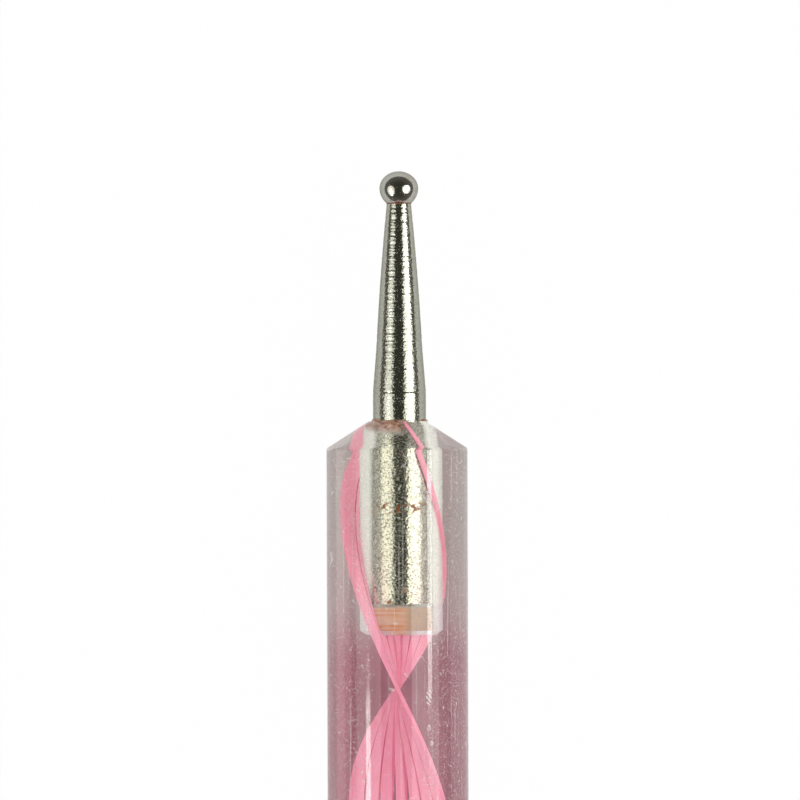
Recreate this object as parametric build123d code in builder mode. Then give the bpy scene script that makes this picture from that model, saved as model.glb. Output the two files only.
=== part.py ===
from build123d import *
import math
import os
from types import SimpleNamespace

# Double-ended ball stylus for embossing: a clear cast rod with a twisted ribbon of strands in it, and a
# steel tip glued into each end. The tool lies along X with the large tip toward +X, and rests on z = 0.

# Handle
handle_diameter = 8.0
handle_length = 101.5
cone_height = 1.55
shoulder_radius = 0.25

# Ribbon cast into the handle
ribbon_width = 4.04
ribbon_thickness = 0.2
ribbon_offset = 0.15
ribbon_pitch = 32.9
ribbon_gaps = (0.04, 0.08, 0.18, 0.18, 0.08, 0.04)
edge_on_depth = 15.1

# What both tips share
shank_diameter = 3.0
glue_film = 0.08
bore_depth = 12.1
bore_corner = 0.25
plug_length = 1.6
shank_corner = 0.15
bead_width = 0.3
bead_rise = 0.2
braze_film = 0.03
braze_toe = 0.04
ball_nose_share = 0.88
cutter_overrun = 1.0

# Each tip: what stands outside the handle, measured along the tip, and how far the bore drifts sideways
large_tip = SimpleNamespace(
    ball_diameter=2.2,
    neck_diameter=1.39,
    straight_length=1.67,
    cone_length=2.33,
    cone_end_diameter=2.63,
    neck_length=8.3,
    neck_bulge=0.05,
    bore_drift=0.15,
)
small_tip = SimpleNamespace(
    ball_diameter=1.5,
    neck_diameter=0.95,
    straight_length=1.67,
    cone_length=2.9,
    cone_end_diameter=2.5,
    neck_length=8.3,
    neck_bulge=0.06,
    bore_drift=0.0,
)


# Places along a tip, as distances out from the mouth of its bore
def lay_out(tip):
    """Work out where a tip's parts lie from its own sizes."""
    tip.cone_start = tip.straight_length
    tip.neck_start = tip.cone_start + tip.cone_length
    tip.rim = tip.neck_start + tip.neck_length
    tip.ball_radius = tip.ball_diameter / 2
    tip.neck_radius = tip.neck_diameter / 2
    tip.seat_radius = tip.ball_radius + braze_film
    tip.seat_angle = math.degrees(math.asin(tip.neck_radius / tip.seat_radius))
    tip.ball_centre = tip.rim + math.sqrt(tip.seat_radius**2 - tip.neck_radius**2)
    tip.reach = tip.ball_centre + tip.ball_radius * ball_nose_share


lay_out(large_tip)
lay_out(small_tip)

# The origin is under the middle of the whole tool, on the surface it rests on
handle_radius = handle_diameter / 2
overall_length = small_tip.reach + handle_length + large_tip.reach
large_mouth_x = overall_length / 2 - large_tip.reach
small_mouth_x = large_mouth_x - handle_length
handle_axis = Axis((0, 0, handle_radius), (1, 0, 0))
shank_radius = shank_diameter / 2
bore_radius = shank_radius + glue_film
shank_insertion = bore_depth - plug_length
cone_slope = cone_height / (handle_radius - bore_radius)

# A tip is drawn in its own plane: x runs out of the handle along the tip, y is the radius
large_plane = Plane(
    origin=(large_mouth_x, -large_tip.bore_drift, handle_radius), x_dir=(1, 0, 0), z_dir=(0, 0, 1)
)
small_plane = Plane(
    origin=(small_mouth_x, small_tip.bore_drift, handle_radius), x_dir=(-1, 0, 0), z_dir=(0, 0, 1)
)


def tip_axis(plane):
    """The tip's own long axis."""
    return Axis(plane.origin, plane.x_dir)


# The rod before it is bored: a cylinder with a cone and a rounded shoulder at each end
rod_plane = Plane(origin=(0, 0, handle_radius), x_dir=(1, 0, 0), z_dir=(0, 0, 1))
with BuildPart() as rod:
    with BuildSketch(rod_plane):
        with BuildLine():
            FilletPolyline(
                (small_mouth_x, 0),
                (small_mouth_x, bore_radius),
                (small_mouth_x + cone_height, handle_radius),
                (large_mouth_x - cone_height, handle_radius),
                (large_mouth_x, bore_radius),
                (large_mouth_x, 0),
                radius=(0, shoulder_radius, shoulder_radius, 0),
            )
            Line((large_mouth_x, 0), (small_mouth_x, 0))
        make_face()
    revolve(axis=handle_axis)


def drilled_space(plane):
    """The round space that the drill leaves, with the worn drill's small corner at its bottom."""
    with BuildPart() as space:
        with BuildSketch(plane):
            with BuildLine():
                Polyline(
                    (cutter_overrun, 0),
                    (cutter_overrun, bore_radius),
                    (bore_corner - bore_depth, bore_radius),
                    (-bore_depth, bore_radius - bore_corner),
                    (-bore_depth, 0),
                    close=True,
                )
            make_face()
        revolve(axis=tip_axis(plane))
    return space.part


large_bore = drilled_space(large_plane)
small_bore = drilled_space(small_plane)


# The ribbon's edges are at unlike distances from the axis, because it was cast a little off centre
strand_pitch = ribbon_width / (len(ribbon_gaps) + 1)
ribbon_low_edge = ribbon_offset - ribbon_width / 2
ribbon_start_x = small_mouth_x - cutter_overrun
ribbon_length = handle_length + 2 * cutter_overrun
edge_on_x = large_mouth_x - edge_on_depth
start_turn = math.pi / 2 + math.tau * (edge_on_x - ribbon_start_x) / ribbon_pitch
ribbon_plane = Plane(
    origin=(ribbon_start_x, 0, handle_radius),
    x_dir=(0, math.cos(start_turn), math.sin(start_turn)),
    z_dir=(1, 0, 0),
)

# Where a strand is parted, so that its end at the large bore can be trimmed as a short piece
split_plane = Plane(origin=(large_mouth_x - bore_depth - cutter_overrun, 0, 0), z_dir=(1, 0, 0))


def make_strand(number):
    """One flat strand, twisted about the rod's axis and trimmed by the rod's ends and its bores."""
    gap_before = ribbon_gaps[number - 1] / 2 if number > 0 else 0
    gap_after = ribbon_gaps[number] / 2 if number < len(ribbon_gaps) else 0
    low = ribbon_low_edge + number * strand_pitch + gap_before
    high = ribbon_low_edge + (number + 1) * strand_pitch - gap_after
    with BuildPart() as strand:
        with BuildLine() as spine:
            Line(ribbon_plane.origin, ribbon_plane.origin + Vector(ribbon_length, 0, 0))
        with BuildLine() as guide:
            Helix(
                ribbon_pitch,
                ribbon_length,
                handle_radius,
                center=ribbon_plane.origin,
                direction=(1, 0, 0),
                lefthand=True,
            )
        with BuildSketch(ribbon_plane):
            with Locations(((low + high) / 2, 0)):
                Rectangle(high - low, ribbon_thickness)
        sweep(path=spine.wires()[0], binormal=guide.wires()[0])
        add(rod.part, mode=Mode.INTERSECT)
        add(small_bore, mode=Mode.SUBTRACT)
        bored_end = split(bisect_by=split_plane, keep=Keep.TOP, mode=Mode.PRIVATE)
        split(bisect_by=split_plane, keep=Keep.BOTTOM)
        add(bored_end - large_bore)
    strand.part.label = f"ribbon_strand_{number + 1}"
    return strand.part


strands = [make_strand(number) for number in range(len(ribbon_gaps) + 1)]


# The finished handle: the rod with its two bores, cast round the strands
with BuildPart() as handle:
    add(rod.part)
    add(large_bore, mode=Mode.SUBTRACT)
    add(small_bore, mode=Mode.SUBTRACT)
    for strand in strands:
        add(strand, mode=Mode.SUBTRACT)
handle.part.label = "handle"


def make_ball(name, plane, tip):
    """A polished ball, round at its seat and worn a little flatter at its nose."""
    with BuildPart() as ball:
        with BuildSketch(plane):
            with BuildLine():
                EllipticalCenterArc(
                    (tip.ball_centre, 0),
                    tip.ball_radius * ball_nose_share,
                    tip.ball_radius,
                    start_angle=0,
                    arc_size=90,
                )
                CenterArc((tip.ball_centre, 0), tip.ball_radius, 90, 90)
                Line(
                    (tip.ball_centre - tip.ball_radius, 0),
                    (tip.ball_centre + tip.ball_radius * ball_nose_share, 0),
                )
            make_face()
        revolve(axis=tip_axis(plane))
    ball.part.label = name
    return ball.part


def make_braze(name, plane, tip):
    """The cup-shaped braze film in the ball's seat, with its small ring round the rim."""
    toe_angle = math.degrees(math.asin((tip.neck_radius + braze_toe) / tip.ball_radius))
    with BuildPart() as braze:
        with BuildSketch(plane):
            with BuildLine():
                seat = CenterArc(
                    (tip.ball_centre, 0), tip.seat_radius, 180 - tip.seat_angle, tip.seat_angle
                )
                skin = CenterArc((tip.ball_centre, 0), tip.ball_radius, 180 - toe_angle, toe_angle)
                Line(seat @ 0, skin @ 0)
                Line(seat @ 1, skin @ 1)
            make_face()
        revolve(axis=tip_axis(plane))
    braze.part.label = name
    return braze.part


def make_shank(name, plane, tip):
    """The steel shank: straight stock, cone, slightly full neck and cupped rim."""
    with BuildPart() as shank:
        with BuildSketch(plane):
            with BuildLine():
                Polyline(
                    (tip.ball_centre - tip.seat_radius, 0),
                    (-shank_insertion, 0),
                    (-shank_insertion, shank_radius - shank_corner),
                    (shank_corner - shank_insertion, shank_radius),
                    (tip.cone_start, shank_radius),
                    (tip.neck_start, tip.cone_end_diameter / 2),
                )
                SagittaArc(
                    (tip.neck_start, tip.cone_end_diameter / 2),
                    (tip.rim, tip.neck_radius),
                    tip.neck_bulge,
                )
                CenterArc(
                    (tip.ball_centre, 0), tip.seat_radius, 180 - tip.seat_angle, tip.seat_angle
                )
            make_face()
        revolve(axis=tip_axis(plane))
    shank.part.label = name
    return shank.part


def make_adhesive(name, plane, bore, shank):
    """The glue: it fills the bore round and behind the shank, and stands as a bead round the mouth."""
    with BuildPart() as adhesive:
        with BuildSketch(plane):
            with BuildLine():
                Polyline(
                    (-cone_height, 0),
                    (-cone_height, bore_radius + bead_width),
                    (-bead_width * cone_slope, bore_radius + bead_width),
                    (bead_rise, shank_radius),
                    (bead_rise, 0),
                    close=True,
                )
            make_face()
        revolve(axis=tip_axis(plane))
        add(rod.part, mode=Mode.SUBTRACT)
        add(bore & rod.part)
        add(shank, mode=Mode.SUBTRACT)
    adhesive.part.label = name
    return adhesive.part


def make_tip(size_name, plane, tip, bore):
    """The four pieces of one tip."""
    shank = make_shank(f"{size_name}_shank", plane, tip)
    return [
        shank,
        make_ball(f"{size_name}_ball", plane, tip),
        make_braze(f"{size_name}_braze", plane, tip),
        make_adhesive(f"{size_name}_adhesive", plane, bore, shank),
    ]


os.makedirs("parts", exist_ok=True)
pieces = [handle.part, *strands]
pieces += make_tip("large", large_plane, large_tip, large_bore)
pieces += make_tip("small", small_plane, small_tip, small_bore)
for piece in pieces:
    export_step(piece, f"parts/{piece.label}.step")
    print(piece.label, round(piece.volume, 3), "mm3")
print("overall length", round(overall_length, 3), "mm")
print("handle from", round(small_mouth_x, 3), "to", round(large_mouth_x, 3), "mm")
grip = rod.faces().filter_by(GeomType.CYLINDER)[0].bounding_box()
print("handle's straight length", round(grip.size.X, 3), "mm, middle at", round(grip.center().X, 3))
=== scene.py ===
# %% [markdown]
# # A double-ended ball stylus in clear acrylic
# This lesson rebuilds a small embossing tool: a clear rod with a twisted pink ribbon cast into it, and a
# turned steel tip with a polished ball glued into each end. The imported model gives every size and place.
# Here the pieces get the finish of the real tool, and a camera and lights like those of its photograph.

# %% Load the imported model
import math
import random

import bmesh
import bpy
from mathutils import Matrix, Vector


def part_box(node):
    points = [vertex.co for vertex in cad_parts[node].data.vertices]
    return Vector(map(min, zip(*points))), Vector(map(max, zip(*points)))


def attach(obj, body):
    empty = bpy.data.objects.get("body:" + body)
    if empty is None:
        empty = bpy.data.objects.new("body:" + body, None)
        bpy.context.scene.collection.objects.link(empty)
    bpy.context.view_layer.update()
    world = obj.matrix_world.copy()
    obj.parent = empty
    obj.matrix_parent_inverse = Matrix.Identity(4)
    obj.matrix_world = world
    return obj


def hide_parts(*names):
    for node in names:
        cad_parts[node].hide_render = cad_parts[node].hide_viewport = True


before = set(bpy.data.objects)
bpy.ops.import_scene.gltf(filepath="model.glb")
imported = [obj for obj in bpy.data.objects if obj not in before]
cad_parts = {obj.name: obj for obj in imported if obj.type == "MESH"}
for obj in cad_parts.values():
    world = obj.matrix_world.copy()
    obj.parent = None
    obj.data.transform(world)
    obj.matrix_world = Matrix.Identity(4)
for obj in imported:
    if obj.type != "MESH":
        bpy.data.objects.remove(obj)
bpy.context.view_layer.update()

# %% [markdown]
# ## Units and the two tips
# Blender works in metres, and a small tool is easier to think about in millimetres, so every size below is
# written in millimetres and turned into metres where a mesh or a light is made. The handle's place comes
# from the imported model. The other sizes, here and in later cells, repeat those that it was drawn with.

# %% Sizes in millimetres
mm = 0.001
handle_low, handle_high = (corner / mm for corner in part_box("handle"))
handle_radius = (handle_high.z - handle_low.z) / 2
axis_height = handle_radius
straight_length = 1.67
neck_length = 8.3
braze_film = 0.03


class Tip:
    """One end of the tool: its direction, its mouth and its sizes in millimetres."""

    def __init__(self, name, sign, mouth, drift, ball, neck, cone_length, cone_end, bulge):
        self.name, self.sign, self.mouth, self.drift = name, sign, mouth, drift
        self.ball_radius, self.neck_radius = ball / 2, neck / 2
        self.cone_start = straight_length
        self.neck_start = self.cone_start + cone_length
        self.cone_end, self.bulge = cone_end / 2, bulge
        self.rim = self.neck_start + neck_length
        self.seat_radius = self.ball_radius + braze_film
        self.ball_centre = self.rim + math.sqrt(self.seat_radius**2 - self.neck_radius**2)

    def along(self, out):
        """The x of a place that lies so far out from the mouth."""
        return self.mouth + self.sign * out


large = Tip(
    "large", 1, handle_high.x, drift=-0.15,
    ball=2.2, neck=1.39, cone_length=2.33, cone_end=2.63, bulge=0.05,
)
small = Tip(
    "small", -1, handle_low.x, drift=0.0,
    ball=1.5, neck=0.95, cone_length=2.9, cone_end=2.5, bulge=0.06,
)
for tip in (large, small):
    ball_x = tip.along(tip.ball_centre)
    print(tip.name, "tip's mouth at", round(tip.mouth, 3), "and ball at", round(ball_x, 3))

# %% [markdown]
# ## The camera
# The photograph was taken from straight above with a long lens, so the tool's sides run almost parallel.
# The camera hangs over the end of the handle and looks down, with the ball toward the top of the picture.
# The scale comes from the handle's width, and the mouth of the handle fixes the place along the tool.

# %% Camera over the tip
picture_size = 800
pixel = 0.0567
mouth_row = 421
past_mouth = (mouth_row - picture_size / 2) * pixel
to_the_right = -0.18
picture_middle = Vector((large.mouth + past_mouth, to_the_right, axis_height))
camera_height = 600
camera_roll = math.radians(-0.18)
camera_data = bpy.data.cameras.new("camera")
camera_data.sensor_fit = "HORIZONTAL"
camera_data.lens = camera_data.sensor_width * camera_height / (picture_size * pixel)
camera_data.clip_start = 0.01
camera = bpy.data.objects.new("camera", camera_data)
bpy.context.collection.objects.link(camera)
looking_down = Matrix(((0, 1, 0), (-1, 0, 0), (0, 0, 1))).to_4x4()
place = Matrix.Translation((picture_middle + Vector((0, 0, camera_height))) * mm)
camera.matrix_world = place @ looking_down @ Matrix.Rotation(camera_roll, 4, "Z")
bpy.context.scene.camera = camera
print("lens", round(camera_data.lens), "mm")

# %% [markdown]
# ## Sums on sockets
# A procedural material is a sum of masks. Written with Python's own signs such a sum is easy to read, so
# this small class wraps a node's output, and each sign adds the Math node that does it. Any other node
# comes from `Finish.node`, which takes the node's type, its settings and what goes into its sockets.


# %% Wire
class Wire:
    """A number that comes out of a node, for use in Python sums."""

    def __init__(self, finish, socket):
        self.finish, self.socket = finish, socket

    def sum(self, operation, *values):
        return self.finish.node("ShaderNodeMath", {"operation": operation}, dict(enumerate(values)))

    def __add__(self, other):
        return self.sum("ADD", self, other)

    def __sub__(self, other):
        return self.sum("SUBTRACT", self, other)

    def __rsub__(self, other):
        return self.sum("SUBTRACT", other, self)

    def __mul__(self, other):
        return self.sum("MULTIPLY", self, other)

    def __truediv__(self, other):
        return self.sum("DIVIDE", self, other)

    def greatest(self, other):
        return self.sum("MAXIMUM", self, other)

    def size(self):
        """The number without its sign."""
        return self.sum("ABSOLUTE", self)

    def zigzag(self, height):
        """The number folded up and down between 0 and height."""
        return self.sum("PINGPONG", self, height)

    def clipped(self):
        return self.finish.node("ShaderNodeClamp", {}, {"Value": self})

    def step(self, low, high):
        """0 below low, 1 above high and smooth between them. It runs down where low is above high."""
        values = {"Value": self, "From Min": low, "From Max": high}
        if low > high:
            values.update({"From Min": high, "From Max": low, "To Min": 1.0, "To Max": 0.0})
        return self.finish.node("ShaderNodeMapRange", {"interpolation_type": "SMOOTHSTEP"}, values)

    __radd__ = __add__
    __rmul__ = __mul__


# %% Finish
class Finish:
    """A material, or the world's look, in the making."""

    def __init__(self, name, owner=None):
        self.owner = owner or bpy.data.materials.new(name)
        self.owner.use_nodes = True
        self.tree = self.owner.node_tree
        self.tree.nodes.clear()

    def node(self, kind, settings=None, values=None, out=0):
        """Add a node, set it up, feed its sockets and return one of its outputs."""
        node = self.tree.nodes.new(kind)
        for key, value in (settings or {}).items():
            setattr(node, key, value)
        for key, value in (values or {}).items():
            socket = node.inputs[key]
            if isinstance(value, Wire):
                self.tree.links.new(value.socket, socket)
            elif isinstance(value, (tuple, list)) and socket.type == "RGBA":
                socket.default_value = (*value, 1.0)
            else:
                socket.default_value = value
        return Wire(self, node.outputs[out]) if node.outputs else node

    def place(self):
        """Where a point of the surface lies, in metres."""
        return self.node("ShaderNodeTexCoord", out=3)

    def axes(self):
        """x along the tool, y across it and z up, in millimetres, as three numbers."""
        scaled = self.node(
            "ShaderNodeVectorMath", {"operation": "SCALE"}, {0: self.place(), "Scale": 1 / mm}
        )
        node = self.tree.nodes.new("ShaderNodeSeparateXYZ")
        self.tree.links.new(scaled.socket, node.inputs[0])
        return [Wire(self, socket) for socket in node.outputs]

    def stretched(self, x, y, z, shift=0.0):
        """The surface's place with each axis scaled, for long or flat patterns. The turn afterwards
        keeps the grid on which a noise is built from lining up with the tool."""
        values = {
            "Vector": self.place(),
            "Scale": (x / mm, y / mm, z / mm),
            "Rotation": (0.4, 0.7, 0.5),
            "Location": (shift, shift, shift),
        }
        return self.node("ShaderNodeMapping", {}, values)

    def noise(self, vector, scale=1.0, detail=2.0, rough=0.5, warp=0.0):
        values = {
            "Vector": vector, "Scale": scale, "Detail": detail, "Roughness": rough, "Distortion": warp,
        }
        return self.node("ShaderNodeTexNoise", {}, values)

    def mix(self, factor, first, second):
        """Blend two colours."""
        settings = {"data_type": "RGBA", "blend_type": "MIX"}
        return self.node("ShaderNodeMix", settings, {0: factor, 6: first, 7: second}, out=2)

    def bump(self, height, depth):
        """A bump of so many millimetres."""
        return self.node("ShaderNodeBump", {}, {"Height": height, "Distance": depth * mm})

    def blend(self, factor, first, second):
        """Blend two shaders."""
        return self.node("ShaderNodeMixShader", {}, {0: factor, 1: first, 2: second})

    def done(self, shader, output="ShaderNodeOutputMaterial"):
        self.node(output, {}, {"Surface": shader})
        print("finish:", self.owner.name, "with", len(self.tree.nodes), "nodes")
        return self.owner


# %% [markdown]
# ## The table and the white background
# The tool lies on a plain white sheet. The camera sees it nearly as white as the photograph's background,
# with only a faint shadow. The bright metal mirrors more: in the photograph's ball the white ends about
# 60 mm from the tool, and beyond it is dark. Seen through the clear rod the table is a dim glow, a painted
# shadow of the rod, and pinker under the ribbon as the ribbon's painted shadow. That is what gives the rod
# its grey edges and the strands their dark gaps.


# %% Panels, glow and light paths
def flat_panel(name, corners, material):
    """A plain flat panel with the given corners in millimetres."""
    mesh = bpy.data.meshes.new(name)
    mesh.from_pydata([Vector(corner) * mm for corner in corners], [], [range(len(corners))])
    mesh.materials.append(material)
    panel = bpy.data.objects.new(name, mesh)
    bpy.context.collection.objects.link(panel)
    return panel


def glow(finish, color, strength=1.0):
    return finish.node("ShaderNodeEmission", {}, {"Color": color, "Strength": strength})


def light_path(finish, name):
    """1 for light that has come this way, such as through glass, and 0 for other light."""
    node = finish.tree.nodes.new("ShaderNodeLightPath")
    return Wire(finish, node.outputs[name])


# %% Table and room
camera_white, mirror_white, rod_shadow_share = 0.985, 0.3, 0.8
half_tool = 65.0
sheet_end, all_dark = 45.0, 75.0


def table_finish():
    """White paint that glows a little for camera and mirrors. Through the rod it is a dim glow: a painted
    shadow of the rod, pinker under the ribbon as the ribbon's painted shadow.
    """
    finish = Finish("white table")
    x, y, _ = finish.axes()
    paint = finish.node("ShaderNodeBsdfDiffuse", {}, {"Color": (0.85, 0.85, 0.85)})
    # Painted shadow: through the rod the table is a dim glow, darker and pinker under the ribbon.
    painted_ribbon_shadow = y.size().step(5.0, 0.5) * x.size().step(40.0, 36.5)
    shade = finish.mix(painted_ribbon_shadow, (0.33, 0.315, 0.315), (0.24, 0.185, 0.20))
    through = light_path(finish, "Is Transmission Ray")
    mirrored = light_path(finish, "Is Glossy Ray") * (1 - through)
    seen = light_path(finish, "Is Camera Ray") * camera_white + mirrored * mirror_white
    off_the_sheet = y.size().greatest(x.size() - half_tool).step(sheet_end, all_dark)
    surface = finish.blend(seen.clipped(), paint, glow(finish, (1, 1, 1)))
    surface = finish.blend(mirrored * off_the_sheet, surface, glow(finish, (0.12, 0.12, 0.10)))
    return finish.done(finish.blend(through * rod_shadow_share, surface, glow(finish, shade)))


table_reach = 4000
corners = [(-1, -1), (1, -1), (1, 1), (-1, 1)]
table = flat_panel(
    "table", [(x * table_reach, y * table_reach, 0) for x, y in corners], table_finish()
)

fill_light = 0.65
room = Finish("white room", bpy.data.worlds.new("white room"))
fill = room.node("ShaderNodeBackground", {}, {"Color": (1, 1, 1), "Strength": fill_light})
white = room.node("ShaderNodeBackground", {}, {"Color": (1, 1, 1), "Strength": 1.0})
seen = light_path(room, "Is Camera Ray").greatest(light_path(room, "Is Glossy Ray"))
seen = seen.greatest(light_path(room, "Is Transmission Ray"))
bpy.context.scene.world = room.done(room.blend(seen, fill, white), "ShaderNodeOutputWorld")

# %% [markdown]
# ## A dark tent and two softboxes
# The polished ball shows how the photograph was lit: two bright boxes, one at each side, in dark
# surroundings that reach down to the table. So a dark dome stands over the table. Only mirrored light and
# light through the clear rod meet it, and through the rod its lower part looks paler. Each softbox is a
# glowing panel inside it, with a hot strip where its lamp is. The two strips are what draws the narrow
# bright lines along the clear handle.


# %% Tent
tent_radius = 1000
tent_top = 900.0
skirt_top, skirt_full = 520.0, 180.0


def tent_finish():
    """Dark, darkest at the top. The skirt is the lower part that looks paler through the rod."""
    finish = Finish("dark tent")
    z = finish.axes()[2]
    shade = (z / tent_top).step(0.0, 1.0)
    color = finish.mix(shade, (0.16, 0.16, 0.14), (0.055, 0.06, 0.045))
    skirt = z.step(skirt_top, skirt_full) * light_path(finish, "Is Transmission Ray")
    color = finish.mix(skirt, color, (0.52, 0.50, 0.48))
    return finish.done(glow(finish, color))


def make_tent():
    """The upper half of a sphere, lifted 1 mm off the table."""
    mesh = bpy.data.meshes.new("tent")
    body = bmesh.new()
    bmesh.ops.create_uvsphere(body, u_segments=48, v_segments=24, radius=tent_radius * mm)
    low = [v for v in body.verts if v.co.z < -1e-6]
    bmesh.ops.delete(body, geom=low, context="VERTS")
    for v in body.verts:
        v.co.z = v.co.z + 1 * mm
    body.to_mesh(mesh)
    body.free()
    mesh.materials.append(tent_finish())
    tent = bpy.data.objects.new("tent", mesh)
    bpy.context.collection.objects.link(tent)
    tent.visible_camera = tent.visible_diffuse = tent.visible_shadow = False


make_tent()


# %% Softboxes
def softbox(name, side, material, distance, steep, flat, near, far, squareness=0.9):
    """A rounded panel that faces the tip. side is 1 at the picture's left; steep and flat are its edges'
    angles from the camera's axis, and near and far its ends along the tool, as angles too."""
    tilt = math.radians((steep + flat) / 2)
    half = math.tan(math.radians(flat - steep) / 2) * distance
    away = Vector((0, side * math.sin(tilt), math.cos(tilt)))
    across = Vector((0, side * math.cos(tilt), -math.sin(tilt)))
    ends = [math.tan(math.radians(angle)) * distance for angle in (near, far)]
    middle = Vector((picture_middle.x + sum(ends) / 2, 0, axis_height)) + away * distance
    along = Vector(((ends[1] - ends[0]) / 2, 0, 0))
    corners = []
    for i in range(48):
        turn = math.tau * i / 48
        long = math.copysign(abs(math.cos(turn)) ** squareness, math.cos(turn))
        wide = math.copysign(abs(math.sin(turn)) ** squareness, math.sin(turn))
        corners.append(middle + along * long + across * half * wide)
    panel = flat_panel(name, corners, material)
    panel.visible_camera = False
    print(name, "is", round(2 * half), "by", round(2 * along.x), "mm")
    return panel


def glow_finish(name, color, strength):
    finish = Finish(name)
    return finish.done(glow(finish, color, strength))


box_distance = 400
left_glow = glow_finish("left glow", (1, 1, 0.93), 1.6)
right_glow = glow_finish("right glow", (1, 1, 0.95), 2.4)
softbox("left softbox", 1, left_glow, box_distance, steep=27, flat=72, near=-38, far=18)
softbox("right softbox", -1, right_glow, box_distance, steep=23, flat=71, near=-28, far=22)

strip_distance = 380
hot = glow_finish("hot strip", (1, 0.98, 0.93), 12.0)
for name, side, steep, flat, near, far in (
    ("left hot strip", 1, 45, 53, -38, -4.05),
    ("right hot strip", -1, 50, 58, -4.15, 18),
):
    strip = softbox(name, side, hot, strip_distance, steep, flat, near, far, squareness=0.15)
    strip.visible_diffuse = strip.visible_transmission = strip.visible_shadow = False

# %% [markdown]
# ## Turning pieces on a lathe
# Most pieces of the tool were turned, so most meshes are made the way a lathe works: an outline of places
# along the axis and radii is spun round. Every outline starts and ends on the axis, where a fan of
# triangles closes the piece.


# %% Lathe
def lathe(name, outline, tip, segments, sharp):
    """Spin (out, radius) points in millimetres, where out is the distance out from the tip's mouth."""
    body = bmesh.new()
    rows = []
    for out, radius in outline:
        x = tip.along(out)
        if radius <= 0:
            rows.append([body.verts.new(Vector((x, tip.drift, axis_height)) * mm)])
            continue
        row = []
        for i in range(segments):
            a = math.tau * i / segments
            y, z = tip.drift + radius * math.cos(a), axis_height + radius * math.sin(a)
            row.append(body.verts.new(Vector((x, y, z)) * mm))
        rows.append(row)
    for one, two in zip(rows, rows[1:]):
        for i in range(segments):
            j = (i + 1) % segments
            if len(one) == 1:
                body.faces.new((one[0], two[i], two[j]))
            elif len(two) == 1:
                body.faces.new((one[i], two[0], one[j]))
            else:
                body.faces.new((one[i], two[i], two[j], one[j]))
    bmesh.ops.recalc_face_normals(body, faces=body.faces)
    return as_piece(name, body, sharp)


def as_piece(name, body, sharp):
    """Turn a mesh in the making into an object. Edges over so many degrees stay crisp."""
    mesh = bpy.data.meshes.new(name)
    body.to_mesh(mesh)
    body.free()
    mesh.shade_smooth()
    mesh.set_sharp_from_angle(angle=math.radians(sharp))
    piece = bpy.data.objects.new(name, mesh)
    bpy.context.collection.objects.link(piece)
    print(name, "has", len(mesh.polygons), "faces")
    return piece


def stands_for(piece, node, slot, *materials):
    """Hand a piece to the frame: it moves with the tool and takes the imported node's place."""
    for material in materials:
        piece.data.materials.append(material)
    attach(piece, "root")
    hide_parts(node)
    return piece


# %% [markdown]
# ## The clear handle
# The handle is one turned acrylic rod with a cone at each end and a bore in each cone. The glue wets the
# bore's wall, so on the real tool that wall vanishes, and light goes straight on to the metal. The mesh
# keeps the bores, and their faces get a finish of their own that doesn't bend light. The large bore runs
# a little off centre, so its rim rises and falls where it cuts the cone.


# %% Rings of the bore
cone_height = 1.55
shoulder_radius = 0.25
bore_radius = 1.58
bore_depth = 12.1
bore_corner = 0.25
ring_points = 192
turns = [math.tau * i / ring_points for i in range(ring_points)]


def circle(out, radius, drift=0.0):
    """A ring of points as (distance out from the mouth, y, height over the axis)."""
    return [(out, drift + radius * math.cos(a), radius * math.sin(a)) for a in turns]


def bore_rings(tip):
    """Rings from the small corner at the bore's bottom along its wall."""
    rings = [circle(-bore_depth, bore_radius - bore_corner, tip.drift)]
    rings.append(circle(bore_corner - bore_depth, bore_radius, tip.drift))
    steps = 12
    for i in range(1, steps):
        rings.append(circle(-bore_depth + bore_depth * i / steps, bore_radius, tip.drift))
    return rings


# %% Rings of the cone and shoulder
cone_slope = math.atan2(cone_height, handle_radius - bore_radius)
shoulder_run = shoulder_radius * math.tan((math.pi / 2 - cone_slope) / 2)


def cone_rings(tip):
    """Rings from the bore's rim over the cone, which the rim follows up and down, to the shoulder."""
    cone_edge = handle_radius - shoulder_run * math.cos(cone_slope)
    rings = []
    for share in (0.0, 0.08, 0.2, 0.4, 0.6, 0.8, 1.0):
        ring = []
        for a in turns:
            rim_y, rim_z = tip.drift + bore_radius * math.cos(a), bore_radius * math.sin(a)
            y = rim_y + (cone_edge * math.cos(a) - rim_y) * share
            z = rim_z + (cone_edge * math.sin(a) - rim_z) * share
            above_bore = max(0.0, math.hypot(y, z) - bore_radius)
            ring.append((-(above_bore * cone_height / (handle_radius - bore_radius)), y, z))
        rings.append(ring)
    return rings


def shoulder_rings():
    """Rings round the shoulder and onto the start of the straight rod."""
    rings = []
    steps = 5
    for i in range(1, steps + 1):
        a = cone_slope + (math.pi / 2 - cone_slope) * i / steps
        radius = handle_radius - shoulder_radius + shoulder_radius * math.sin(a)
        rings.append(circle(shoulder_radius * math.cos(a) - cone_height - shoulder_run, radius))
    return rings + [circle(-cone_height - past, handle_radius) for past in (0.4, 0.8)]


# %% Handle mesh
def end_rows(body, tip):
    """Put the points of one end into the mesh, and close the bore's bottom with a fan."""
    rows = []
    for ring in bore_rings(tip) + cone_rings(tip) + shoulder_rings():
        places = [Vector((tip.along(out), y, axis_height + z)) for out, y, z in ring]
        rows.append([body.verts.new(place * mm) for place in places])
    bottom = body.verts.new(Vector((tip.along(-bore_depth), tip.drift, axis_height)) * mm)
    first = rows[0]
    for i in range(len(first)):
        body.faces.new((bottom, first[i], first[i - 1]))
    return rows


def mark_bores(body):
    """Give the faces of both bores the handle's second material."""
    for face in body.faces:
        middle = face.calc_center_median() / mm
        for tip in (large, small):
            off_axis = math.hypot(middle.y - tip.drift, middle.z - axis_height)
            out = (middle.x - tip.mouth) * tip.sign
            if off_axis < bore_radius + 0.001 and out > -bore_depth - 0.1:
                face.material_index = 1


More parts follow.
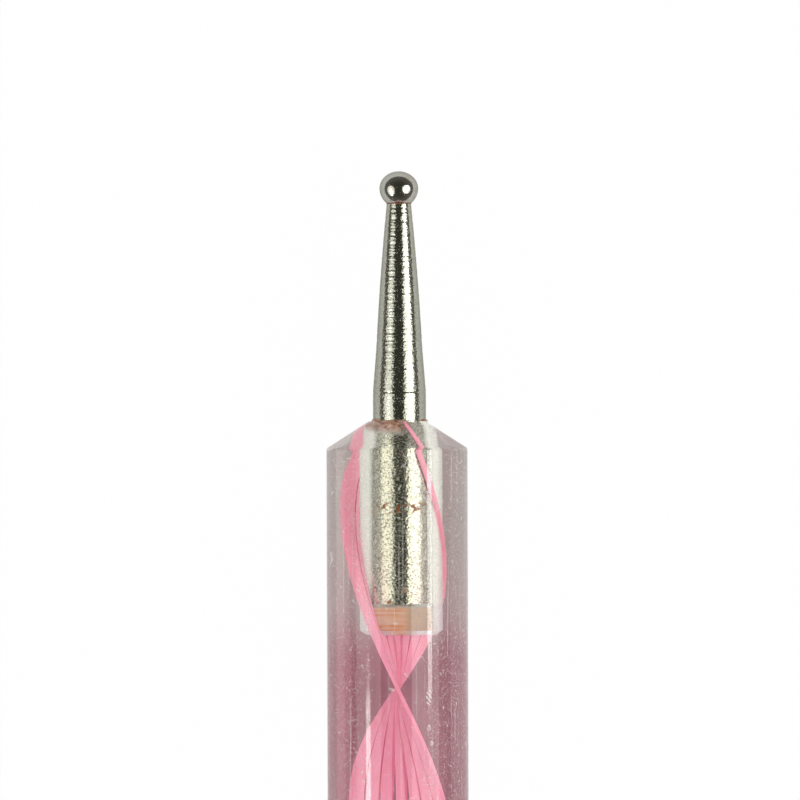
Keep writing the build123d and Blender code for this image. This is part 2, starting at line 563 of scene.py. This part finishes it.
def make_handle():
    body = bmesh.new()
    rows = end_rows(body, large)
    rows += end_rows(body, small)[::-1]
    for one, two in zip(rows, rows[1:]):
        for i in range(len(one)):
            body.faces.new((one[i - 1], one[i], two[i], two[i - 1]))
    bmesh.ops.recalc_face_normals(body, faces=body.faces)
    mark_bores(body)
    return as_piece("clear_handle", body, sharp=25)


handle = make_handle()


# %% [markdown]
# Cast acrylic bends light by an index of 1.49. This rod has a faint mauve cast. Round the ribbon it is
# rosier, which is painted pink light from the ribbon. Its polished skin has gathered grains of dust along
# the sides, short curled fibres, a few long scratches and one group of nicks. They catch the light as pale
# marks, so they are a matt white shader laid over the clear one through a mask. Where the turned cone
# turns away from the eye, the same matt white is laid over it as a painted reflection, lighter on the
# picture's left and darker on its right as painted shade. Light from the lamps passes the clear shader as
# if it weren't there, which brightens what is cast inside without noise.


# %% Dust and nicks
nick_out, nick_side = 15.55, 1.75


def nick_mask(x, y):
    """Short parallel nicks inside a small oval, so far behind the mouth and to the right of the middle."""
    off_x, off_y = x - (large.mouth - nick_out), y + nick_side
    lines = (off_x * 0.63 - off_y * 0.78 + 10.0).zigzag(0.09).step(0.045, 0.02)
    return lines * (off_x * off_x * 3.5 + off_y * off_y * 22.0).step(0.75, 0.45)


def dust_mask(finish):
    """Grain at the sides, curled fibres, lengthwise scratches and nicks on the upper side, from 0 to 1."""
    x, y, z = finish.axes()
    at_sides = y.size().step(0.9, 1.9)
    grain = finish.noise(finish.stretched(1, 1, 1), 14.0, 3.0, 0.6).step(0.55, 0.62) * at_sides
    warped = finish.noise(finish.stretched(1, 1, 1, 3.0), 0.5, 0.0, warp=1.2)
    fibres = (warped * 8.0).zigzag(0.5).step(0.07, 0.02)
    where = finish.noise(finish.stretched(1, 1, 1, 7.0), 2.6, 1.0).step(0.54, 0.60)
    hairs = finish.noise(finish.stretched(0.06, 5, 5, 1.0), 2.0, 1.0).step(0.64, 0.72)
    dust = grain * 0.55 + fibres * where * 0.5 + hairs * 0.4 + nick_mask(x, y) * 1.4
    return dust.clipped() * z.step(axis_height - 0.5, axis_height + 1.0)


# %% Parts of the acrylic's look
def lamps_pass(finish, shader, tint):
    """Let the light of lamps and room through a clear shader, tinted a little."""
    clear = finish.node("ShaderNodeBsdfTransparent", {}, {"Color": tint})
    shader = finish.blend(light_path(finish, "Is Diffuse Ray"), shader, clear)
    return finish.blend(light_path(finish, "Is Shadow Ray"), shader, clear)


# Where the painted pink light of the ribbon begins and where it is full, along the tool.
pink_light_start, pink_light_full = 40.6, 37.0


def acrylic_tint(finish, x, y, wear):
    """Faint mauve, and painted pink light of the ribbon: streaks where the ribbon fills the rod and, more
    gradually, at its sides.
    """
    pink_light_share = x.size().step(pink_light_start, pink_light_full)
    at_sides = x.size().step(47.0, pink_light_full) * y.size().step(1.9, 2.7)
    pink_light_share = pink_light_share.greatest(at_sides * 0.9)
    streaks = finish.noise(finish.stretched(0.02, 0.8, 0.8, 4.0), 1.0, 2.0).step(0.45, 0.62)
    plain = finish.mix(wear, (0.875, 0.76, 0.735), (0.93, 0.825, 0.80))
    # The colours of the painted pink light from the ribbon.
    painted_pink_light = finish.mix(streaks, (0.96, 0.53, 0.62), (0.84, 0.36, 0.45))
    return finish.mix(pink_light_share, plain, painted_pink_light)


def painted_cone_sheen(finish, x, y):
    """A mask of the cone's far-turned sides, narrower toward the mouth, where a painted reflection is laid,
    and its colour: lighter on the picture's left and darker on its right, as painted shade.
    """
    facing = finish.node("ShaderNodeLayerWeight", {}, {"Blend": 0.5}, out=1)
    cone_foot = handle_high.x - cone_height - 0.1
    up_cone = x.size() - cone_foot
    sides = (facing - up_cone * up_cone * 0.16).step(0.59, 0.68) * up_cone.step(-0.1, 0.1)
    return sides, finish.mix(y.step(-3.0, 3.0), (0.60, 0.52, 0.52), (0.84, 0.76, 0.74))


# %% Handle finishes
def acrylic_finish():
    finish = Finish("clear acrylic")
    x, y, _ = finish.axes()
    dust = dust_mask(finish)
    wear = finish.noise(finish.stretched(1, 1, 1), 3.0, 4.0)
    values = {
        "Base Color": acrylic_tint(finish, x, y, wear),
        "Roughness": 0.02 + wear * 0.03,
        "IOR": 1.49,
        "Transmission Weight": 1.0,
        "Normal": finish.bump(dust, 0.0003),
    }
    clear = finish.node("ShaderNodeBsdfPrincipled", {}, values)
    # Painted reflection on the cone's edge-on sides, lighter on the picture's left and darker on its right
    # as painted shade. The same matt white also carries the real dust.
    cone_sheen, cone_sheen_color = painted_cone_sheen(finish, x, y)
    pale = finish.mix(cone_sheen, (0.90, 0.83, 0.81), cone_sheen_color)
    matt = finish.node("ShaderNodeBsdfDiffuse", {}, {"Color": pale})
    dust_and_sheen_cover = (dust * 0.65).greatest(cone_sheen * 0.8)
    return finish.done(lamps_pass(finish, finish.blend(dust_and_sheen_cover, clear, matt), (1.0, 0.96, 0.96)))


def bore_finish():
    """Clear, because the glue wets it, with a few pale spots where it doesn't."""
    finish = Finish("wetted bore")
    clear = finish.node("ShaderNodeBsdfTransparent", {}, {"Color": (1, 1, 1)})
    matt = finish.node("ShaderNodeBsdfDiffuse", {}, {"Color": (0.75, 0.72, 0.68)})
    spots = finish.noise(finish.stretched(1, 1, 1), 6.0, 2.0).step(0.66, 0.76)
    return finish.done(finish.blend(spots * 0.3, clear, matt))


stands_for(handle, "handle", "clear_acrylic", acrylic_finish(), bore_finish())


# %% [markdown]
# ## The pink ribbon
# Seven flat pink strands lie side by side in the rod. They were twisted together while the acrylic was
# soft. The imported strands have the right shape, so they stay, and get a satin pink with fine streaks that
# run along them. It is a little different from strand to strand, and deeper beside the steel shanks.


# %% Ribbon finish
def ribbon_finish(name, shift):
    """Satin pink. The shift moves the pattern, so that no two strands are alike."""
    finish = Finish(name)
    streaks = finish.noise(finish.stretched(0.05, 2.0, 2.0, shift), 5.0, 3.0)
    clouds = finish.noise(finish.stretched(0.3, 0.6, 0.6, shift), 1.0, 3.0)
    paleness = (streaks * 0.5 + clouds * 0.5).step(0.3, 0.7)
    color = finish.mix(paleness, (0.96, 0.43, 0.56), (1.0, 0.53, 0.68))
    by_shank = finish.axes()[0].size().step(38.5, 43.0)
    color = finish.mix(by_shank * 0.6, color, (0.98, 0.33, 0.45))
    values = {
        "Base Color": color,
        "Roughness": 0.38 + streaks * 0.1,
        "IOR": 1.2,
        "Normal": finish.bump(streaks, 0.01),
    }
    return finish.done(finish.node("ShaderNodeBsdfPrincipled", {}, values))


shift_per_strand = 1.7
for number in range(1, 8):
    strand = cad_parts[f"ribbon_strand_{number}"]
    strand.data.materials.clear()
    strand.data.materials.append(ribbon_finish(f"pink strand {number}", number * shift_per_strand))

# %% [markdown]
# ## The steel shanks
# Each shank was turned from 3 mm steel wire: the straight stock goes on into the bore, and outside it a
# short cone and a long taper lead to the ball. The cutting tool left fine rings on the taper, which tear
# the edges of its highlights. They are cut into the outline itself, a few thousandths of a millimetre deep,
# from seeded random numbers, so they are real grooves on the mesh.


# %% Lines of the shank
def ringed(points, depth, step, seed):
    """Walk along an outline in small steps and cut each one in a little. Four cuts in five are shallow,
    and the others go up to 1.6 times the depth."""
    chance = random.Random(seed)
    made = []
    for (x0, r0), (x1, r1) in zip(points, points[1:]):
        count = max(1, round((x1 - x0) / step))
        for i in range(count):
            share = i / count
            cut = depth * (chance.random() ** 3 if chance.random() < 0.8 else 1.6 * chance.random())
            made.append((x0 + (x1 - x0) * share, r0 + (r1 - r0) * share - cut))
    return made


def neck_line(tip):
    """The long taper from the cone to the rim of the ball's cup, a little full in the middle."""
    line = []
    for i in range(13):
        share = i / 12
        x = tip.neck_start + (tip.rim - tip.neck_start) * share
        straight = tip.cone_end + (tip.neck_radius - tip.cone_end) * share
        line.append((x, straight + 4 * tip.bulge * share * (1 - share)))
    return line


def on_sphere(tip, radius, a):
    """A point of the outline on a sphere about the ball's centre, a being its angle from the inner pole."""
    return (tip.ball_centre - radius * math.cos(a), radius * math.sin(a))


# %% Shank mesh
shank_radius = 1.5
shank_corner = 0.15
shank_insertion = 10.5


def make_shank(tip, seed):
    buried = [(-shank_insertion, 0), (-shank_insertion, shank_radius - shank_corner)]
    buried += [(shank_corner - shank_insertion, shank_radius)]
    buried += [(x, shank_radius) for x in (-10.2, -8.0, -6.0, -4.0, -2.0, -0.5)]
    stock = [(-0.3, shank_radius), (tip.cone_start - 0.12, shank_radius)]
    stock = ringed(stock, depth=0.0025, step=0.05, seed=seed)
    groove = [(tip.cone_start - 0.1, shank_radius), (tip.cone_start - 0.05, shank_radius - 0.02)]
    groove += [(tip.cone_start, shank_radius)]
    cone = [(tip.cone_start + 0.03, shank_radius), (tip.neck_start, tip.cone_end)]
    cone = ringed(cone, depth=0.005, step=0.055, seed=seed + 1)
    taper = ringed(neck_line(tip), depth=0.010, step=0.055, seed=seed + 2)
    seat_angle = math.asin(tip.neck_radius / tip.seat_radius)
    cup = [on_sphere(tip, tip.seat_radius, seat_angle * (1 - i / 6)) for i in range(6)]
    cup.append((tip.ball_centre - tip.seat_radius, 0))
    outline = buried + stock + groove + cone + taper + cup
    return lathe(f"{tip.name}_steel_shank", outline, tip, segments=160, sharp=40)


# %% [markdown]
# The steel has a thin warm nickel plate. Outside the handle it is bright, with fine rings and single
# grains that scatter the light like sparks. Inside, the glue has left small dark pits and spots of rust,
# mostly in one ring near the middle and at the inner end. The plate is painted paler and greener there,
# because the mauve rod in front takes that away again.


# %% Shank finish
def plate(finish, color, roughness, normal):
    """Warm nickel plate: a metal whose rim doesn't turn quite white."""
    values = {
        "Base Color": color,
        "Metallic": 1.0,
        "Roughness": roughness,
        "Specular Tint": (0.62, 0.64, 0.58),
        "Normal": normal,
    }
    return finish.node("ShaderNodeBsdfPrincipled", {}, values)


rust_ring_depth = 4.9


def rust_mask(finish, out, buried):
    """Patches of rust in a ring round the buried shank and near its inner end."""
    ring = (out + rust_ring_depth).size().step(0.45, 0.15)
    ring_patches = finish.noise(finish.stretched(1, 1, 1, 5.0), 4.5, 3.0).step(0.53, 0.6)
    end_patches = finish.noise(finish.stretched(1, 1, 1, 9.0), 1.6, 3.0).step(0.55, 0.62)
    return (ring * ring_patches + out.step(-9.0, -10.0) * end_patches).clipped() * buried


def shank_finish(tip):
    """The whole look of a shank: plate with grain and sparks, and pits and rust where it is buried."""
    finish = Finish(f"{tip.name} turned steel")
    out = (finish.axes()[0] - tip.mouth) * tip.sign
    buried = out.step(0.1, -0.1)
    on_taper = out.step(tip.cone_start, tip.neck_start)
    rings = finish.noise(finish.stretched(1, 0.15, 0.15), 5.5, 2.0, 0.6)
    grain = finish.noise(finish.stretched(1, 1, 1, 2.0), 8.0, 1.0)
    sparks = finish.noise(finish.stretched(1, 1, 1, 8.0), 10.0, 2.0).step(0.57, 0.67)
    pits = finish.noise(finish.stretched(1, 1, 1), 9.0, 2.0, 0.7).step(0.52, 0.59)
    rust = rust_mask(finish, out, buried)
    bare = finish.mix(rings, (0.44, 0.44, 0.385), (0.51, 0.51, 0.45))
    clean = finish.mix(buried, bare, (0.73, 0.81, 0.67))
    pitted = finish.mix(pits * (0.3 + buried * 0.3), clean, (0.13, 0.12, 0.08))
    color = finish.mix(rust, pitted, (0.42, 0.19, 0.07))
    rough = 0.09 + rings * 0.08 + sparks * 0.28 + buried * 0.03 + rust * 0.4
    normal = finish.bump(rings * (0.6 + on_taper * 3.0) + grain * 1.7, 0.007)
    return finish.done(plate(finish, color, rough, normal))


for tip, seed in ((large, 11), (small, 23)):
    shank = make_shank(tip, seed)
    stands_for(shank, f"{tip.name}_shank", "turned_steel", shank_finish(tip))


# %% [markdown]
# ## The polished balls
# The ball is a true sphere at the back, where it sits in the cup, and a little flatter at its nose from
# years of rubbing. It is the brightest piece, so its mesh is fine and its finish nearly a mirror, with
# small dark specks and a faint brownish tarnish in soft clouds.


# %% Ball mesh and finish
nose_share = 0.88


def make_ball(tip):
    outline = []
    count = 40
    for i in range(count + 1):
        a = math.pi * i / count
        reach = nose_share if a > math.pi / 2 else 1.0
        x = tip.ball_centre - tip.ball_radius * reach * math.cos(a)
        outline.append((x, tip.ball_radius * math.sin(a)))
    outline[0] = (outline[0][0], 0)
    outline[-1] = (outline[-1][0], 0)
    return lathe(f"{tip.name}_polished_ball", outline, tip, segments=96, sharp=60)


def ball_finish():
    """Nearly a mirror, a little duller in the clouds of tarnish and at the specks."""
    finish = Finish("polished steel")
    specks = finish.noise(finish.stretched(1, 1, 1), 8.0, 3.0).step(0.60, 0.72)
    haze = finish.noise(finish.stretched(1, 1, 1, 2.0), 1.9, 3.0)
    tarnish = finish.mix(haze.step(0.48, 0.62), (0.49, 0.485, 0.45), (0.47, 0.44, 0.39))
    color = finish.mix(specks * 0.6, tarnish, (0.22, 0.18, 0.13))
    rough = 0.07 + haze * 0.12 + specks * 0.2
    return finish.done(plate(finish, color, rough, finish.bump(haze * 0.6 + specks * 0.4, 0.006)))


mirror = ball_finish()
for tip in (large, small):
    stands_for(make_ball(tip), f"{tip.name}_ball", "polished_steel", mirror)


# %% [markdown]
# ## The braze
# A thin film of braze holds the ball in its cup, and a small ring of it shows in the crease. Heat has left
# it brown in patches.


# %% Braze mesh and finish
def make_braze(tip):
    """A film between two spheres, a hair clear of the cup and the ball, and wider by the toe of its ring."""
    clear, toe, steps = 0.002, 0.035, 8
    seat_angle = math.asin(tip.neck_radius / tip.seat_radius)
    toe_angle = math.asin((tip.neck_radius + toe) / tip.ball_radius)
    inner = [on_sphere(tip, tip.seat_radius - clear, seat_angle * i / steps) for i in range(steps + 1)]
    outer = [
        on_sphere(tip, tip.ball_radius + clear, toe_angle * (steps - i) / steps)
        for i in range(steps + 1)
    ]
    inner[0] = (inner[0][0], 0)
    outer[-1] = (outer[-1][0], 0)
    return lathe(f"{tip.name}_braze_ring", inner + outer, tip, segments=96, sharp=50)


def braze_finish():
    finish = Finish("brown braze")
    patches = finish.noise(finish.stretched(1, 1, 1), 3.0, 3.0).step(0.4, 0.6)
    values = {
        "Base Color": finish.mix(patches, (0.10, 0.055, 0.035), (0.34, 0.15, 0.08)),
        "Metallic": 0.6,
        "Roughness": 0.35 + patches * 0.25,
        "Normal": finish.bump(patches, 0.004),
    }
    return finish.done(finish.node("ShaderNodeBsdfPrincipled", {}, values))


brown = braze_finish()
for tip in (large, small):
    stands_for(make_braze(tip), f"{tip.name}_braze", "braze", brown)


# %% [markdown]
# ## The glue
# Glue fills the thin gap round the shank and the bottom of the bore, and stands out as a thin bead round
# the mouth. Round the shank it is nearly clear, with small pale bubbles and a grey haze toward its sides
# that is a painted sheen where the glue is seen edge-on. Behind the shank it is cloudy and orange, with
# the fine rings that the drill left, and paler at its edge-on sides, also a painted sheen. At the mouth it
# has soaked up rust, most of all on the picture's left.


# %% Glue mesh
def make_glue(tip):
    """The glue's outline goes up the bore's wall, over the bead and back along the shank."""
    slack = 0.004
    wall = bore_radius - slack
    inside = shank_radius + slack
    outline = [(-bore_depth + slack, 0), (-bore_depth + slack, wall - bore_corner)]
    outline += [(-bore_depth + bore_corner, wall)]
    outline += [(x, wall) for x in (-11.0, -10.0, -8.0, -6.0, -4.0, -2.0, -1.2, -0.6)]
    outline += [(-0.12, wall), (-0.02, wall + 0.03), (0.06, wall + 0.01), (0.12, wall - 0.03)]
    outline += [(0.15, inside)]
    outline += [(x, inside) for x in (-1.0, -2.0, -4.0, -6.0, -8.0, -10.0)]
    outline += [(shank_corner - shank_insertion, inside)]
    outline += [(-shank_insertion - slack, shank_radius - shank_corner)]
    outline += [(-shank_insertion - slack, 0)]
    glue = lathe(f"{tip.name}_glue", outline, tip, segments=128, sharp=35)
    make_uneven(glue, tip)
    return glue


def make_uneven(glue, tip):
    """Let the bead outside the mouth rise and fall as it goes round."""
    for vertex in glue.data.vertices:
        out = (vertex.co.x / mm - tip.mouth) * tip.sign
        if out > 0:
            a = math.atan2(vertex.co.z / mm - axis_height, vertex.co.y / mm - tip.drift)
            height = 0.5 + 0.25 * math.sin(2 * a + 1.0) + 0.2 * math.sin(5 * a)
            vertex.co.x = tip.along(out * height) * mm


# %% Glue finish
plug_start, plug_full = -10.35, -10.65
mouth_start, mouth_full = -1.5, -0.6


def glue_color(finish, out, left, plug, mouth, cloud, blots, sides):
    """Grey round the shank, where the bubbles and the painted edge-on sheen show; orange in the plug, paler
    where it is seen edge-on as painted sheen; brown at the mouth.
    """
    rings = finish.noise(finish.stretched(1, 0.1, 0.1), 7.0, 2.0)
    orange = finish.mix(cloud.step(0.35, 0.65), (0.80, 0.50, 0.33), (0.68, 0.33, 0.17))
    orange = finish.mix(rings.step(0.42, 0.6) * 0.6, orange, (0.85, 0.68, 0.55))
    core = finish.mix(left.step(-0.05, -0.3), orange, (0.55, 0.42, 0.30))
    grey = finish.mix(cloud, (0.87, 0.95, 0.88), (0.93, 0.99, 0.95))
    rust = finish.mix(blots.step(0.35, 0.65), (0.30, 0.15, 0.09), (0.55, 0.36, 0.27))
    # The plug is paler where it is seen edge-on: a painted sheen.
    stained = finish.mix(plug, grey, finish.mix(sides, core, (0.85, 0.92, 0.92)))
    rusty = (mouth * left.step(-0.6, 0.1)).greatest(out.step(-0.05, 0.0))
    return finish.mix(rusty, stained, rust)


def glue_finish(tip):
    """Clear round the shank, thick in the plug behind it, and stained in the last part of the mouth."""
    finish = Finish(f"{tip.name} glue")
    x, y, _ = finish.axes()
    out = (x - tip.mouth) * tip.sign
    left = (y - tip.drift) / bore_radius
    plug = out.step(plug_start, plug_full)
    mouth = out.step(mouth_start, mouth_full)
    cloud = finish.noise(finish.stretched(1, 1, 1, 4.0), 1.4, 4.0)
    blots = finish.noise(finish.stretched(1, 1, 1, 6.0), 2.6, 3.0)
    # Paler where the glue is seen edge-on: a painted sheen. With the real bubbles it makes the haze.
    sides = finish.node("ShaderNodeLayerWeight", {}, {"Blend": 0.5}, out=1).step(0.26, 0.42)
    bubbles = finish.noise(finish.stretched(1, 1, 1, 8.0), 8.0, 2.0).step(0.62, 0.70)
    haze = (sides * 0.8 + bubbles * 0.5).clipped()
    stain = mouth * (blots * 1.1 - (left - 0.35).size() * 1.2 + 0.5).clipped()
    thick = haze.greatest(plug * (0.7 + cloud * 0.3)).greatest(stain).clipped()
    color = glue_color(finish, out, left, plug, mouth, cloud, blots, sides)
    values = {"Base Color": color, "Roughness": 0.45, "IOR": 1.2}
    matt = finish.node("ShaderNodeBsdfPrincipled", {}, values)
    clear = finish.node("ShaderNodeBsdfTransparent", {}, {"Color": (1, 1, 1)})
    return finish.done(finish.blend(thick, clear, matt))


for tip in (large, small):
    stands_for(make_glue(tip), f"{tip.name}_adhesive", "glue", glue_finish(tip))

# %% [markdown]
# ## View settings
# The Standard view keeps colours as they are written.

# %% View settings
bpy.context.scene.view_settings.view_transform = "Standard"
